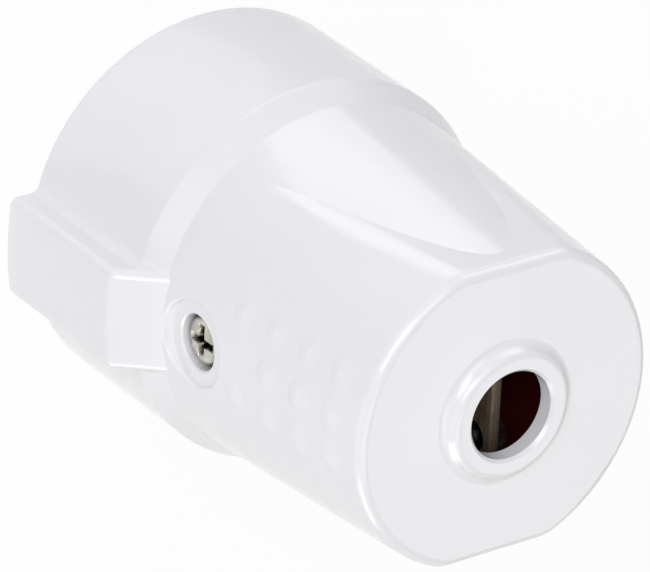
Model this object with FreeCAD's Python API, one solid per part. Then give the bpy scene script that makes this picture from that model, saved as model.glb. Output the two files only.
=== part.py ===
import FreeCAD, Part
import math
import os

# Round inline socket connector: moulded sleeve, socket face, contact base, contacts and cord clamp.
# Lengths in millimetres. Z runs from the socket rim to the cord end, X along the pin holes and Y
# through the two side pads.

V = FreeCAD.Vector
CENTRE = V(0, 0, 0)
Z_AXIS = V(0, 0, 1)
X_AXIS = V(1, 0, 0)

# Socket face: the round well, its floor and the pin holes
well_radius = 19.5
well_depth = 17.5
well_lead = 0.7
face_thickness = 3.0
insert_wall = 1.85
insert_fit = 0.15
rim_recess = 0.2
pin_pitch = 19.0
pin_length = 19.0
pin_hole_radius = 2.75
pin_hole_lead = 0.6
guide_rib_width = 5.0
guide_rib_height = 2.2
guide_rib_start = 2.0
guide_rib_edge = 0.7
key_lug_length = 3.0

# Sleeve: barrel, shoulder and tapered nose with two flats
barrel_wall = 2.0
barrel_draft = 0.25
rim_edge = 0.5
shoulder_cover = 1.2
shoulder_length = 3.25
shoulder_step = 1.85
shoulder_round = 0.5
nose_wall = 2.2
front_wall = 1.2
side_taper = 2.75
crest_taper = 4.34
flat_depth = 1.24
flat_edge = 5.0
nose_edge = 1.2

# Side pads over the earth clips
pad_rise = 2.95
pad_crown = 48.0
pad_width = 12.2
pad_wall = 2.2
pad_draft = 0.15
pad_ramp_lead = 0.4
pad_ramp_rise = 5.2
pad_ramp_length = 4.3
pad_ramp_round = 1.0
pad_edge = 1.1
pad_foot = 1.2

# Cable entry with its raised lip
cable_radius = 5.2
lip_height = 1.35
lip_crest = 1.5
lip_crest_round = 1.0
lip_foot_round = 1.3
lip_mouth = 0.35
cable_lead = 0.45

# Grip dots on the sides of the nose
dot_radius = 1.6
dot_height = 0.2
dot_pitch_along = 5.46
dot_pitch_across = 5.1
dot_columns = 4
dot_rows = 3
dot_first = 7.75
dot_shift = 2.1

# Side screws that lock the sleeve to the base, with captive nuts
side_head_radius = 3.1
side_head_height = 1.8
side_head_room = 0.15
side_head_sink = 0.5
side_shank_radius = 1.75
spot_depth = 1.0
spot_margin = 1.75
spot_edge = 0.3
head_hole_edge = 0.2
boss_wall = 1.3
boss_floor = 1.7
boss_gap = 0.3
nut_width = 6.0
nut_thickness = 2.6
nut_fit = 0.1
nut_cover = 0.6
nut_block_depth = 4.5
nut_block_wall = 1.55

# Contact base and the hood round its cord clamp
base_plate = 4.9
base_gap = 0.45
tower_bore = 4.2
tower_wall = 1.1
post_gap = 0.6
spigot_step = 1.0
pillar_thickness = 4.0
peg_radius = 1.2
peg_length = 1.8
peg_fit = 0.1
peg_margin = 0.9
hood_wall = 0.9
hood_back_wall = 1.3
hood_gap = 3.0
hood_fit = 0.2

# Brass contacts with pillar terminals
sleeve_bore = 2.3
sleeve_wall = 0.9
sleeve_gap = 0.6
sleeve_slot = 0.7
sleeve_slot_length = 10.0
collar_length = 5.0
contact_fit = 0.1
terminal_radius = 4.0
terminal_drop = 0.7
pin_end_room = 0.5
terminal_web = 0.8
wire_hole_radius = 1.6
wire_hole_depth = 5.0
terminal_flat = 0.6
ring_offset = 2.0
ring_height = 2.2
ring_thickness = 0.6
ring_fit = 0.03

# Small screws
thread_fit = 0.05
shank_fit = 0.2
terminal_screw_radius = 1.25
terminal_head_radius = 2.0
terminal_head_height = 1.3
face_screw_radius = 1.5
face_screw_length = 13.0
face_head_radius = 2.9
drive_width = 0.8
drive_depth = 0.9

# Earth contacts
clip_thickness = 0.8
clip_width = 5.2
clip_bend = 1.4
clip_bow = 2.5
clip_side_room = 0.6
clip_reach = 3.7
clip_touch_depth = 10.0
clip_nose_room = 0.6
clip_tail_drop = 2.0
clip_tail_length = 5.6
bridge_thickness = 1.2
bridge_inset = 1.7
groove_fit = 0.2
post_height = 12.4
rivet_inset = 6.0
rivet_radius = 1.2
rivet_head_radius = 2.1
rivet_head_height = 0.7

# Cord clamp
clamp_gap = 1.2
clamp_bar_width = 5.9
clamp_bar_thickness = 1.3
clamp_bar_face = 5.5
clamp_bar_corner = 2.0
clamp_side_gap = 2.26
clamp_screw_edge = 2.7
clamp_screw_radius = 1.5
clamp_head_radius = 2.7
clamp_head_height = 1.9
clamp_screw_bite = 8.0
saddle_top = -1.5
cord_room = 8.55

# Places along the axis
well_floor_z = rim_recess + well_depth
face_back_z = well_floor_z + face_thickness
shoulder_z = face_back_z + shoulder_cover
root_z = shoulder_z + shoulder_length
base_top_z = face_back_z + base_plate
pin_end_z = well_floor_z + pin_length
tower_top_z = pin_end_z - terminal_drop
wire_hole_z = pin_end_z + pin_end_room + terminal_web
terminal_top_z = wire_hole_z + wire_hole_depth
clamp_from_z = terminal_top_z + clamp_gap
clamp_z = clamp_from_z + clamp_bar_width / 2
clamp_to_z = clamp_from_z + clamp_bar_width
cavity_end_z = clamp_to_z + cord_room
nose_z = cavity_end_z + front_wall
nose_length = nose_z - root_z
lip_z = nose_z + lip_height
bridge_z = face_back_z + clip_thickness
bridge_top_z = bridge_z + bridge_thickness
post_top_z = base_top_z + post_height

# Radii and half widths
insert_radius = well_radius + insert_wall
bore_radius = insert_radius + insert_fit
rim_radius = bore_radius + barrel_wall
root_radius = rim_radius - shoulder_step
flat_half = root_radius - side_taper - flat_depth
pad_radius = rim_radius + pad_rise
pocket_radius = pad_radius - pad_wall
pocket_half = pad_width / 2 - pad_wall
contact_x = pin_pitch / 2
tower_radius = tower_bore + tower_wall
post_radius = contact_x - tower_radius - post_gap
spigot_radius = post_radius - spigot_step
sleeve_radius = sleeve_bore + sleeve_wall
clip_half = clip_width / 2
clip_touch = well_radius - clip_reach
rivet_place = well_radius - rivet_inset
groove_half = clip_half + groove_fit
clamp_bar_half = flat_half - nose_wall - clamp_side_gap
clamp_screw_x = clamp_bar_half - clamp_screw_edge


def nose_radius(taper, z):
    """Outer radius at height z of the nose cone that loses the given taper over the nose."""
    return root_radius - taper * (z - root_z) / nose_length


# Side screw: axis height, head seat and the faces of the boss and nut block, as distances from the main axis
head_hole_radius = side_head_radius + side_head_room
boss_radius = head_hole_radius + boss_wall
side_screw_z = base_top_z + boss_gap + boss_radius
spot_plane = nose_radius(side_taper, side_screw_z) - spot_depth
spot_radius = head_hole_radius + spot_margin
head_seat = spot_plane - side_head_sink - side_head_height
boss_end = head_seat - boss_floor
nut_block_outer = boss_end - boss_gap
nut_block_inner = nut_block_outer - nut_block_depth
nut_outer = nut_block_outer - nut_cover
nut_top_z = side_screw_z + boss_radius
pillar_back = -nut_block_inner
base_radius = nose_radius(side_taper, base_top_z) - nose_wall - base_gap
peg_x = base_radius - peg_radius - peg_margin


def rod(radius, z_from, z_to, x=0.0, y=0.0):
    """Cylinder along Z."""
    return Part.makeCylinder(radius, z_to - z_from, V(x, y, z_from))


def cross_rod(radius, y_from, y_to, x, z):
    """Cylinder along Y."""
    return Part.makeCylinder(radius, y_to - y_from, V(x, y_from, z), V(0, 1, 0))


def block(x_from, x_to, y_from, y_to, z_from, z_to):
    """Box between two corners."""
    return Part.makeBox(x_to - x_from, y_to - y_from, z_to - z_from, V(x_from, y_from, z_from))


def cross_bar(radius, half_width, z_from, z_to):
    """Bar along Y through the axis, with ends rounded like a cylinder of this radius about Z."""
    disc = rod(radius, z_from, z_to)
    return disc.common(block(-half_width, half_width, -2 * radius, 2 * radius, z_from, z_to))


def turned(points):
    """Solid of revolution about Z from an outline of (radius, z) points."""
    outline = [V(radius, 0, z) for radius, z in points]
    return Part.Face(Part.makePolygon(outline + outline[:1])).revolve(CENTRE, Z_AXIS, 360)


def ring_edges(shape, radius, z):
    """Circular edges of the shape with this radius at this height."""
    found = []
    for edge in shape.Edges:
        if isinstance(edge.Curve, Part.Circle):
            if abs(edge.Curve.Radius - radius) < 1e-4 and abs(edge.Curve.Center.z - z) < 1e-4:
                found.append(edge)
    return found


def half_turn(shape):
    """The same shape on the other side of the axis."""
    return shape.rotated(CENTRE, Z_AXIS, 180)


def both_sides(shape):
    """The shape together with its copy on the other side of the axis."""
    return shape.fuse(half_turn(shape))


def head_to_rear(shape, x, y, z):
    """Shape made along +Z, turned to point along +Y and moved to a place."""
    return shape.rotated(CENTRE, X_AXIS, -90).translated(V(x, y, z))


def tapered_nose(inset, z_from, z_to):
    """Side cone cut by the two flats; inset draws all its walls inwards."""
    big = nose_radius(side_taper, z_from) - inset
    small = nose_radius(side_taper, z_to) - inset
    cone = Part.makeCone(big, small, z_to - z_from, V(0, 0, z_from))
    half = flat_half - inset
    return cone.common(block(-half, half, -2 * big, 2 * big, z_from, z_to))


def crest_cone(inset, z_from, z_to):
    """Steeper cone that stands out of the flats near the shoulder and sinks into them at the nose."""
    big = nose_radius(crest_taper, z_from) - inset
    small = nose_radius(crest_taper, z_to) - inset
    return Part.makeCone(big, small, z_to - z_from, V(0, 0, z_from))


def nose_cavity(inset, z_from, z_to):
    """Inside of the nose, drawn in from the outer faces by the inset."""
    return tapered_nose(inset, z_from, z_to).fuse(crest_cone(inset, z_from, z_to))


def barrel():
    """Round barrel with its sloped shoulder down to the root of the nose."""
    top_radius = rim_radius - barrel_draft
    points = [(0, 0), (rim_radius, 0), (top_radius, shoulder_z), (root_radius, root_z), (0, root_z)]
    body = turned(points)
    body = body.makeFillet(shoulder_round, ring_edges(body, top_radius, shoulder_z))
    return body.makeFillet(rim_edge, ring_edges(body, rim_radius, 0))


def nose():
    """Solid nose with soft edges along the flats and round its front."""
    body = tapered_nose(0, shoulder_z, nose_z)
    long_edges = []
    for edge in body.Edges:
        box = edge.BoundBox
        if box.ZLength > nose_length / 2 and abs(abs(box.XMin) - flat_half) < 1e-3:
            long_edges.append(edge)
    body = body.makeFillet(flat_edge, long_edges)
    front_edges = [edge for edge in body.Edges if edge.BoundBox.ZMin > nose_z - 1e-3]
    body = body.makeFillet(nose_edge, front_edges)
    return body.fuse(crest_cone(0, shoulder_z, nose_z - nose_edge))


def pads():
    """Both side pads, crowned more gently than the barrel and ramped down to the nose."""
    ramp_radius = pad_crown - pad_draft
    foot_radius = ramp_radius - pad_ramp_rise
    ramp_from = shoulder_z - pad_ramp_lead
    ramp_to = ramp_from + pad_ramp_length
    points = [(0, 0), (pad_crown, 0), (ramp_radius, ramp_from), (foot_radius, ramp_to), (0, ramp_to)]
    body = turned(points)
    body = body.makeFillet(pad_ramp_round, ring_edges(body, ramp_radius, ramp_from))
    body = body.translated(V(0, pad_radius - pad_crown, 0))
    half = pad_width / 2
    body = body.common(block(-half, half, 0, 2 * pad_radius, 0, ramp_to))
    foot_y = pad_radius - pad_draft - pad_ramp_rise - pad_edge
    long_edges = []
    for edge in body.Edges:
        box = edge.BoundBox
        if box.XLength < 1e-3 and box.Center.y > foot_y:
            long_edges.append(edge)
    body = body.makeFillet(pad_edge, long_edges)
    rim_edges = [edge for edge in body.Edges if edge.BoundBox.ZMax < 1e-3 and edge.BoundBox.YMax > foot_y]
    return both_sides(body.makeFillet(rim_edge, rim_edges))


def pad_foot_edges(body):
    """Long inner corners between the sides of the pads and the barrel."""
    found = []
    for edge in body.Edges:
        box = edge.BoundBox
        on_side = box.XLength < 1e-3 and abs(abs(box.XMin) - pad_width / 2) < 1e-3
        if on_side and box.ZLength > shoulder_z / 2 and abs(box.Center.y) < rim_radius:
            found.append(edge)
    return found


def spot_rim_edges(body):
    """Outer edges of the two spot-faces, where they meet the nose."""
    found = []
    for edge in body.Edges:
        places = [edge.valueAt(edge.getParameterByLength(share * edge.Length)) for share in (0.1, 0.5, 0.9)]
        on_wall = [abs(math.hypot(p.x, p.z - side_screw_z) - spot_radius) < 1e-3 for p in places]
        if all(on_wall) and min(abs(p.y) for p in places) > spot_plane + 1e-3:
            found.append(edge)
    return found


def cable_lip():
    """Raised ring round the cable hole: flat crest, rounded outside and a soft foot on the front face."""
    turn = math.acos(1 - lip_height / (lip_crest_round + lip_foot_round))
    crest_in = cable_radius
    crest_out = cable_radius + lip_crest
    foot = crest_out + (lip_crest_round + lip_foot_round) * math.sin(turn)
    sunk = nose_z - front_wall / 2

    def crest_point(angle):
        """Point of the rounded crest, turned outwards by the angle."""
        reach = lip_crest_round * math.sin(angle)
        return V(crest_out + reach, 0, lip_z - lip_crest_round * (1 - math.cos(angle)))

    def foot_point(angle):
        """Point of the hollow foot, short of the front face by the angle."""
        reach = lip_foot_round * math.sin(angle)
        return V(foot - reach, 0, nose_z + lip_foot_round * (1 - math.cos(angle)))

    corners = [foot_point(0), V(foot, 0, sunk), V(crest_in, 0, sunk), V(crest_in, 0, lip_z), crest_point(0)]
    edges = [
        Part.Arc(crest_point(0), crest_point(turn / 2), crest_point(turn)).toShape(),
        Part.Arc(crest_point(turn), foot_point(turn / 2), foot_point(0)).toShape(),
    ]
    edges += [Part.LineSegment(start, end).toShape() for start, end in zip(corners, corners[1:])]
    return Part.Face(Part.Wire(edges)).revolve(CENTRE, Z_AXIS, 360)


def grip_dots():
    """Domed dots in a grid on both sides of the nose; the one beside the side screw is left out."""
    ball = (dot_radius ** 2 + dot_height ** 2) / (2 * dot_height)
    base_angle = math.degrees(math.asin(1 - (dot_height + nose_wall / 4) / ball))
    dots = []
    for column in range(dot_columns):
        z = side_screw_z + dot_first + column * dot_pitch_along
        radius = nose_radius(side_taper, z)
        for row in range(dot_rows):
            across = (row - (dot_rows - 1) / 2) * dot_pitch_across
            if column > 0 or across != 0:
                angle = (across + dot_shift) / radius
                place = V(radius * math.sin(angle), radius * math.cos(angle), z)
                out = V(math.sin(angle), math.cos(angle), side_taper / nose_length).normalize()
                dot = Part.makeSphere(ball, place + out * (dot_height - ball), out, base_angle, 90, 360)
                dots += [dot, half_turn(dot)]
    return dots


def housing():
    """One-piece white sleeve with pads, lip, spot-faces, grip dots and the bosses for the side screws."""
    body = barrel().fuse([nose(), pads(), cable_lip()])
    body = body.makeFillet(pad_foot, pad_foot_edges(body))
    body = body.cut(both_sides(cross_rod(spot_radius, spot_plane, 2 * rim_radius, 0, side_screw_z)))
    body = body.makeFillet(spot_edge, spot_rim_edges(body))
    for dot in grip_dots():
        body = body.fuse(dot)
    pocket_end = face_back_z + clip_thickness + groove_fit
    pocket = cross_bar(pocket_radius, pocket_half, -1, pocket_end)
    cavity = nose_cavity(nose_wall, face_back_z, cavity_end_z)
    body = body.cut(rod(bore_radius, -1, face_back_z).fuse([pocket, cavity]))
    wall_middle = spot_plane - spot_depth
    body = body.fuse(both_sides(cross_rod(boss_radius, boss_end, wall_middle, 0, side_screw_z)))
    head_hole = cross_rod(head_hole_radius, head_seat, 2 * rim_radius, 0, side_screw_z)
    rim = Part.makeCone(
        head_hole_radius,
        head_hole_radius + head_hole_edge,
        head_hole_edge,
        V(0, spot_plane - head_hole_edge, side_screw_z),
        V(0, 1, 0),
    )
    shank_hole = cross_rod(side_shank_radius + shank_fit, 0, head_seat, 0, side_screw_z)
    body = body.cut([both_sides(cut) for cut in (head_hole, rim, shank_hole)])
    mouth = Part.makeCone(cable_radius, cable_radius + lip_mouth, lip_mouth, V(0, 0, lip_z - lip_mouth))
    lead = Part.makeCone(cable_radius + cable_lead, cable_radius, cable_lead, V(0, 0, cavity_end_z))
    return body.cut(rod(cable_radius, cavity_end_z - 1, lip_z + 1).fuse([mouth, lead]))


def pin_hole():
    """Pin hole with its funnel, ready to cut from the well floor."""
    wide = pin_hole_radius + pin_hole_lead
    hole = rod(pin_hole_radius, well_floor_z - 1, face_back_z + 1, contact_x)
    funnel = Part.makeCone(wide, pin_hole_radius, pin_hole_lead, V(contact_x, 0, well_floor_z))
    return hole.fuse(funnel)


def guide_rib():
    """Rib on the well wall in line with the pin holes, with rounded inner edges."""
    half = guide_rib_width / 2
    inner = well_radius - guide_rib_height
    outer = well_radius + insert_wall / 2
    rib = block(inner, outer, -half, half, rim_recess + guide_rib_start, well_floor_z + face_thickness / 2)
    inner_edges = []
    for edge in rib.Edges:
        if edge.BoundBox.XMax < inner + 1e-3 and edge.BoundBox.ZMin < well_floor_z:
            inner_edges.append(edge)
    return rib.makeFillet(guide_rib_edge, inner_edges)


def countersunk_head(room):
    """Cone of the face screw's head, flush with the well floor and larger all round by the room."""
    wide = face_head_radius + room
    narrow = face_screw_radius + room
    return Part.makeCone(wide, narrow, wide - narrow, V(0, 0, well_floor_z))


def socket_face():
    """White cup with the well, guide ribs, pin holes, clip slots, key lugs and holes for the pegs."""
    cup = rod(insert_radius, rim_recess, face_back_z)
    lug_top = rim_recess + key_lug_length
    lugs = cross_bar(pocket_radius - insert_fit, pocket_half - insert_fit, rim_recess, lug_top)
    middle = rod(spigot_radius, face_back_z - 1, bridge_z)
    body = cup.fuse([lugs, middle])
    mouth = Part.makeCone(well_radius + well_lead, well_radius, well_lead, V(0, 0, rim_recess))
    body = body.cut(rod(well_radius, 0, well_floor_z).fuse(mouth))
    body = body.fuse(both_sides(guide_rib()))
    slot_half = clip_half + clip_side_room
    slot_start = lug_top + clip_side_room
    slot = block(-slot_half, slot_half, clip_touch, 2 * well_radius, slot_start, well_floor_z)
    rivet_floor = face_back_z - rivet_head_height - groove_fit
    rivet_room = rod(rivet_head_radius + groove_fit, rivet_floor, bridge_z, 0, rivet_place)
    peg_hole = rod(peg_radius + peg_fit, face_back_z - peg_length - peg_fit, bridge_z, peg_x)
    cuts = [pin_hole(), slot, rivet_room, peg_hole]
    body = body.cut([both_sides(cut) for cut in cuts])
    head_room = countersunk_head(thread_fit)
    return body.cut(rod(face_screw_radius + shank_fit, well_floor_z, bridge_z + 1).fuse(head_room))


def contact_base():
    """Dark moulded base: plate, two contact towers, nut blocks and the pillar with the cord saddle."""
    plate = rod(base_radius, face_back_z, base_top_z)
    tower = rod(tower_radius, face_back_z, tower_top_z, contact_x)
    nut_half = nut_width / 2 + nut_fit
    nut_side = nut_half + nut_block_wall
    nut_block = block(-nut_side, nut_side, nut_block_inner, nut_block_outer, face_back_z, nut_top_z)
    peg = rod(peg_radius, face_back_z - peg_length, face_back_z + 1, peg_x)
    pillar_front = pillar_back + pillar_thickness
    pillar = block(-clamp_bar_half, clamp_bar_half, pillar_back, pillar_front, face_back_z, clamp_to_z)
    saddle = block(-clamp_bar_half, clamp_bar_half, pillar_back, saddle_top, clamp_from_z, clamp_to_z)
    body = plate.fuse([both_sides(tower), both_sides(nut_block), pillar, saddle])
    body = body.common(nose_cavity(nose_wall + base_gap, face_back_z, clamp_to_z))
    body = body.fuse(both_sides(peg)).removeSplitter()
    bore = rod(tower_bore, face_back_z - 1, tower_top_z + 1, contact_x)
    nut_inner = nut_outer - nut_thickness - nut_fit
    nut_room = block(-nut_half, nut_half, nut_inner, nut_outer, side_screw_z - nut_half, nut_top_z + 1)
    shank_room = side_shank_radius + shank_fit
    screw_hole = cross_rod(shank_room, nut_block_inner, nut_block_outer + 1, 0, side_screw_z)
    groove_top = bridge_top_z + groove_fit / 2
    groove = block(-groove_half, groove_half, 0, 2 * base_radius, face_back_z - 1, groove_top)
    rivet_top = groove_top + rivet_head_height
    rivet_room = rod(rivet_head_radius + groove_fit, face_back_z, rivet_top, 0, rivet_place)
    body = body.cut([both_sides(cut) for cut in (bore, nut_room, screw_hole, groove, rivet_room)])
    spigot_hole = rod(spigot_radius + contact_fit, face_back_z, base_top_z + 1)
    cord_groove = rod(cable_radius, clamp_from_z - 1, clamp_to_z + 1)
    thread_from = saddle_top - clamp_screw_bite
    thread_hole = cross_rod(clamp_screw_radius + thread_fit, thread_from, 1, clamp_screw_x, clamp_z)
    thread_hole_left = cross_rod(clamp_screw_radius + thread_fit, thread_from, 1, -clamp_screw_x, clamp_z)
    return body.cut([spigot_hole, cord_groove, thread_hole, thread_hole_left])


def cord_hood():
    """Thin collar round terminals and cord clamp, slotted to sit on the pillar and flat at the bosses."""
    hood_from = nut_top_z + boss_gap
    hood_to = cavity_end_z - hood_gap
    inset = nose_wall + base_gap
    outer_half = nut_block_outer
    inner_half = outer_half - hood_back_wall
    reach = 2 * root_radius
    outer = nose_cavity(inset, hood_from, hood_to)
    outer = outer.common(block(-reach, reach, -outer_half, outer_half, hood_from, hood_to))
    inner = nose_cavity(inset + hood_wall, hood_from, hood_to)
    inner = inner.common(block(-reach, reach, -inner_half, inner_half, hood_from, hood_to))
    slot_back = pillar_back - hood_fit
    slot_front = pillar_back + pillar_thickness + hood_fit
    slot = block(-reach, reach, slot_back, slot_front, hood_from, clamp_to_z)
    return outer.cut([inner, slot])


def terminal_screw_hole(radius, z):
    """Tapped hole and seat flat for a terminal screw, to cut from a pillar of this radius on its +Y side."""
    seat = radius - terminal_flat
    flat = block(-radius, radius, seat, 2 * radius, z - terminal_head_radius, z + 2 * terminal_head_radius)
    return flat.fuse(cross_rod(terminal_screw_radius + thread_fit, 0, radius, 0, z))


def terminal_screw(radius, x, z):
    """Slotted cheese-head screw seated on the flat of a pillar, its tip in the wire hole."""
    seat = radius - terminal_flat
    head = rod(terminal_head_radius, 0, terminal_head_height)
    head = head.cut(slot_cut(terminal_head_radius, terminal_head_height))
    return head_to_rear(head.fuse(rod(terminal_screw_radius, -seat, 0)), x, seat, z)


def slot_cut(head_radius, head_height):
    """Straight driver slot across the top of a head."""
    half = drive_width / 2
    return block(-2 * head_radius, 2 * head_radius, -half, half, head_height - drive_depth, head_height + 1)


def cross_cut(head_radius, head_height):
    """Cross recess in the top of a head."""
    half = drive_width / 2
    reach = head_radius / 2
    arm = block(-reach, reach, -half, half, head_height - drive_depth, head_height + 1)
    return arm.fuse(arm.rotated(CENTRE, Z_AXIS, 90))


def pan_screw(head_radius, head_height, shank_radius, shank_length):
    """Cross-head screw with a bevelled head that stands on z = 0."""
    bevel = head_height / 2
    points = [
        (0, -shank_length),
        (shank_radius, -shank_length),
        (shank_radius, 0),
        (head_radius, 0),
        (head_radius, head_height - bevel),
        (head_radius - bevel, head_height),
        (0, head_height),
    ]
    return turned(points).cut(cross_cut(head_radius, head_height))


def pole_contact(x):
    """Slotted brass sleeve that hangs in a tower by its pillar terminal."""
    sleeve_from = face_back_z + sleeve_gap
    collar = tower_bore - contact_fit
    points = [
        (0, sleeve_from),
        (sleeve_radius, sleeve_from),
        (sleeve_radius, tower_top_z - collar_length),
        (collar, tower_top_z - collar_length),
        (collar, tower_top_z),
        (terminal_radius + tower_wall / 2, tower_top_z),
        (terminal_radius + tower_wall / 2, tower_top_z + terminal_drop),
        (terminal_radius, tower_top_z + terminal_drop),
        (terminal_radius, terminal_top_z),
        (0, terminal_top_z),
    ]
    half = sleeve_slot / 2
    reach = 2 * sleeve_radius
    slot = block(-reach, reach, -half, half, sleeve_from - 1, sleeve_from + sleeve_slot_length)
    screw_z = (wire_hole_z + terminal_top_z) / 2
    cuts = [
        rod(sleeve_bore, sleeve_from - 1, pin_end_z + pin_end_room),
        slot,
        slot.rotated(CENTRE, Z_AXIS, 90),
        rod(wire_hole_radius, wire_hole_z, terminal_top_z + 1),
        terminal_screw_hole(terminal_radius, screw_z),
    ]
    contact = turned(points).cut(cuts).translated(V(x, 0, 0))
    return contact, terminal_screw(terminal_radius, x, screw_z)


def contact_spring(x):
    """Steel ring that keeps the fingers of a contact sleeve together."""
    inner = sleeve_radius + ring_fit
    ring_from = face_back_z + sleeve_gap + ring_offset
    ring = rod(inner + ring_thickness, ring_from, ring_from + ring_height, x)
    return ring.cut(rod(inner, ring_from, ring_from + ring_height, x))


def earth_bridge():
    """Brass strip that joins the two earth clips behind the face."""
    reach = base_radius - bridge_inset
    strip = block(-clip_half, clip_half, -reach, reach, bridge_z, bridge_top_z)
    rivet_hole = rod(rivet_radius + ring_fit, bridge_z, bridge_top_z, 0, rivet_place)
    return strip.cut([both_sides(rivet_hole), rod(face_screw_radius + shank_fit, bridge_z, bridge_top_z)])


def rounded_path(points, radii):
    """Wire of straight runs in the YZ plane with an arc of the given radius at each inner corner."""
    places = [V(0, y, z) for y, z in points]
    edges = []
    start = places[0]
    for before, corner, after, radius in zip(places, places[1:], places[2:], radii):
        towards = (before - corner).normalize()
        away = (after - corner).normalize()
        half_angle = towards.getAngle(away) / 2
        setback = radius / math.tan(half_angle)
        middle = (towards + away).normalize() * (radius / math.sin(half_angle) - radius)
        entry = corner + towards * setback
        leave = corner + away * setback
        edges.append(Part.LineSegment(start, entry).toShape())
        edges.append(Part.Arc(entry, corner + middle, leave).toShape())
        start = leave
    edges.append(Part.LineSegment(start, places[-1]).toShape())
    return Part.Wire(edges)


def earth_clip():
    """Rear spring clip: foot under the bridge, outer arm in the pad, hairpin and bowed contact arm."""
    half = clip_thickness / 2
    foot_z = face_back_z + half
    arm = pocket_radius - clip_side_room - half
    nose_z_low = rim_recess + key_lug_length + 2 * clip_nose_room + half
    bow = clip_touch + half
    bow_z = rim_recess + clip_touch_depth
    foot_start = rivet_place - rivet_head_radius
    points = [
        (foot_start, foot_z),
        (arm, foot_z),
        (arm, nose_z_low),
        (well_radius + half, nose_z_low),
        (bow, bow_z),
        (bow + clip_tail_drop, bow_z + clip_tail_length),
    ]
    path = rounded_path(points, [clip_bend, clip_bend, clip_bend, clip_bow])
    section = Part.makePolygon([
        V(-clip_half, foot_start, face_back_z),
        V(clip_half, foot_start, face_back_z),
        V(clip_half, foot_start, bridge_z),
        V(-clip_half, foot_start, bridge_z),
        V(-clip_half, foot_start, face_back_z),
    ])
    strip = path.makePipeShell([section], True, False)
    return strip.cut(rod(rivet_radius + ring_fit, face_back_z - 1, bridge_z + 1, 0, rivet_place))


def earth_rivet():
    """Rivet of the rear clip, with a flat head on each side."""
    shank = rod(rivet_radius, face_back_z, bridge_top_z, 0, rivet_place)
    low = rod(rivet_head_radius, face_back_z - rivet_head_height, face_back_z, 0, rivet_place)
    high = rod(rivet_head_radius, bridge_top_z, bridge_top_z + rivet_head_height, 0, rivet_place)
    return shank.fuse([low, high])


def earth_post():
    """Brass pillar terminal that stands on the bridge and draws the base to the face."""
    points = [
        (0, bridge_top_z),
        (spigot_radius, bridge_top_z),
        (spigot_radius, base_top_z),
        (post_radius, base_top_z),
        (post_radius, post_top_z),
        (0, post_top_z),
    ]
    screw_z = post_top_z - wire_hole_depth / 2
    screw_end_z = well_floor_z + face_screw_length
    cuts = [
        rod(face_screw_radius + thread_fit, bridge_top_z - 1, screw_end_z + terminal_web),
        rod(wire_hole_radius, post_top_z - wire_hole_depth, post_top_z + 1),
        terminal_screw_hole(post_radius, screw_z),
    ]
    return turned(points).cut(cuts), terminal_screw(post_radius, 0, screw_z)


def face_screw():
    """Countersunk screw in the middle of the well floor."""
    shank = rod(face_screw_radius, well_floor_z, well_floor_z + face_screw_length)
    body = countersunk_head(0).fuse(shank)
    recess = cross_cut(face_head_radius, 0).rotated(CENTRE, X_AXIS, 180)
    return body.cut(recess.translated(V(0, 0, well_floor_z)))


def side_screw():
    """Rear screw that locks the sleeve to the nut in the base."""
    length = head_seat - nut_block_inner - nut_fit
    screw = pan_screw(side_head_radius, side_head_height, side_shank_radius, length)
    return head_to_rear(screw, 0, head_seat, side_screw_z)


def side_nut():
    """Square nut of the rear side screw."""
    half = nut_width / 2
    inner = nut_outer - nut_thickness
    nut = block(-half, half, inner, nut_outer, side_screw_z - half, side_screw_z + half)
    return nut.cut(cross_rod(side_shank_radius + thread_fit, inner, nut_outer, 0, side_screw_z))


def cord_clamp_bar():
    """Flat steel bar with rounded corners that presses the cord on the saddle."""
    bar_back = clamp_bar_face + clamp_bar_thickness
    bar = block(-clamp_bar_half, clamp_bar_half, clamp_bar_face, bar_back, clamp_from_z, clamp_to_z)
    corners = [edge for edge in bar.Edges if edge.BoundBox.YLength > clamp_bar_thickness / 2]
    bar = bar.makeFillet(clamp_bar_corner, corners)
    hole = cross_rod(clamp_screw_radius + shank_fit, clamp_bar_face, bar_back, clamp_screw_x, clamp_z)
    return bar.cut([hole, hole.translated(V(-2 * clamp_screw_x, 0, 0))])


def cord_clamp_screw(x):
    """Screw of the cord clamp, its head on the bar and its tip in the saddle."""
    seat = clamp_bar_face + clamp_bar_thickness
    length = seat - saddle_top + clamp_screw_bite - thread_fit
    screw = pan_screw(clamp_head_radius, clamp_head_height, clamp_screw_radius, length)
    return head_to_rear(screw, x, seat, clamp_z)


def pieces():
    """All pieces by name, in their places."""
    line_contact, line_terminal_screw = pole_contact(-contact_x)
    neutral_contact, neutral_terminal_screw = pole_contact(contact_x)
    post, post_screw = earth_post()
    named = {
        "housing": housing(),
        "socket_face": socket_face(),
        "contact_base": contact_base(),
        "cord_hood": cord_hood(),
        "line_contact": line_contact,
        "neutral_contact": neutral_contact,
        "line_terminal_screw": line_terminal_screw,
        "neutral_terminal_screw": neutral_terminal_screw,
        "line_contact_spring": contact_spring(-contact_x),
        "neutral_contact_spring": contact_spring(contact_x),
        "earth_bridge": earth_bridge(),
        "earth_post": post,
        "earth_terminal_screw": post_screw,
        "face_screw": face_screw(),
        "cord_clamp_bar": cord_clamp_bar(),
        "cord_clamp_screw_left": cord_clamp_screw(-clamp_screw_x),
        "cord_clamp_screw_right": cord_clamp_screw(clamp_screw_x),
    }
    paired = {
        "earth_clip": earth_clip(),
        "earth_rivet": earth_rivet(),
        "side_screw": side_screw(),
        "side_nut": side_nut(),
    }
    for name, piece in paired.items():
        named[name + "_rear"] = piece
        named[name + "_front"] = half_turn(piece)
    return named


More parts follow.
